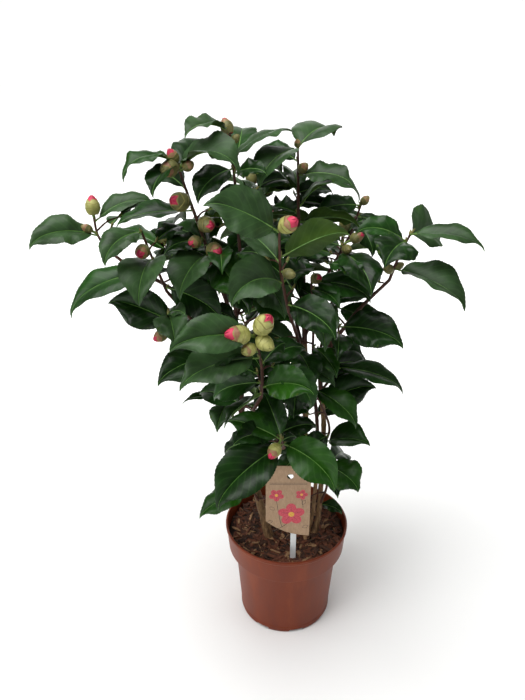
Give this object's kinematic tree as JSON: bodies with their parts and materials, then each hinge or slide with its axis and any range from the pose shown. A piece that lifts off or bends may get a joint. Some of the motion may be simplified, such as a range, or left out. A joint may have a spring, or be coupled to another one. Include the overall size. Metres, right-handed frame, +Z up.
{
  "type": "potted camellia shrub",
  "caption": "Young evergreen camellia shrub with glossy leaves and fat flower buds, in a round terracotta-coloured plastic pot with bark mulch and a card label.",
  "frame": {"origin": "middle of the pot's flat underside", "axes": "+Z up along the pot's axis, +X to the right and -Y to the front, the side with the label"},
  "size_m": [0.4293, 0.3389, 0.6188],
  "materials": {
    "foliage": "glossy dark green leathery leaves; flower buds pale yellow-green with pink-red petal tips",
    "bark": "smooth young brown bark, matt",
    "pot_plastic": "satin terracotta-coloured moulded plastic",
    "mulch": "coarse shredded bark, red-brown to dark brown",
    "card": null,
    "stake": "glossy white moulded plastic"
  },
  "bodies": {
    "root": {"back_high_bough": "bark", "back_high_shoot": "foliage", "back_left_bough": "bark", "back_left_shoot": "foliage", "back_low_bough": "bark", "back_low_shoot": "foliage", "back_middle_bough": "bark", "back_middle_shoot": "foliage", "back_right_bough": "bark", "back_right_shoot": "foliage", "bark_mulch": "mulch", "centre_bough": "bark", "centre_shoot": "foliage", "far_left_bough": "bark", "far_left_shoot": "foliage", "far_right_shoot": "foliage", "foot_left_shoot": "foliage", "foot_shoot": "foliage", "front_bough": "bark", "front_shoot": "foliage", "heart_left_shoot": "foliage", "heart_right_shoot": "foliage", "inner_right_bough": "bark", "inner_right_shoot": "foliage", "inner_shoot": "foliage", "label_card": "card", "label_stake": "stake", "left_bough": "bark", "left_crown_shoot": "foliage", "left_front_bough": "bark", "left_front_shoot": "foliage", "left_low_bough": "bark", "left_low_shoot": "foliage", "left_stem": "bark", "low_front_bough": "bark", "low_front_shoot": "foliage", "low_right_shoot": "foliage", "middle_shoot": "foliage", "middle_stem": "bark", "pot": "pot_plastic", "right_bough": "bark", "right_shoot": "foliage", "right_stem": "bark", "right_stem_twin": "bark", "top_left_bough": "bark", "top_left_shoot": "foliage", "top_right_bough": "bark", "top_right_shoot": "foliage", "top_shoot": "foliage", "under_left_shoot": "foliage"}
  },
  "joints": []
}
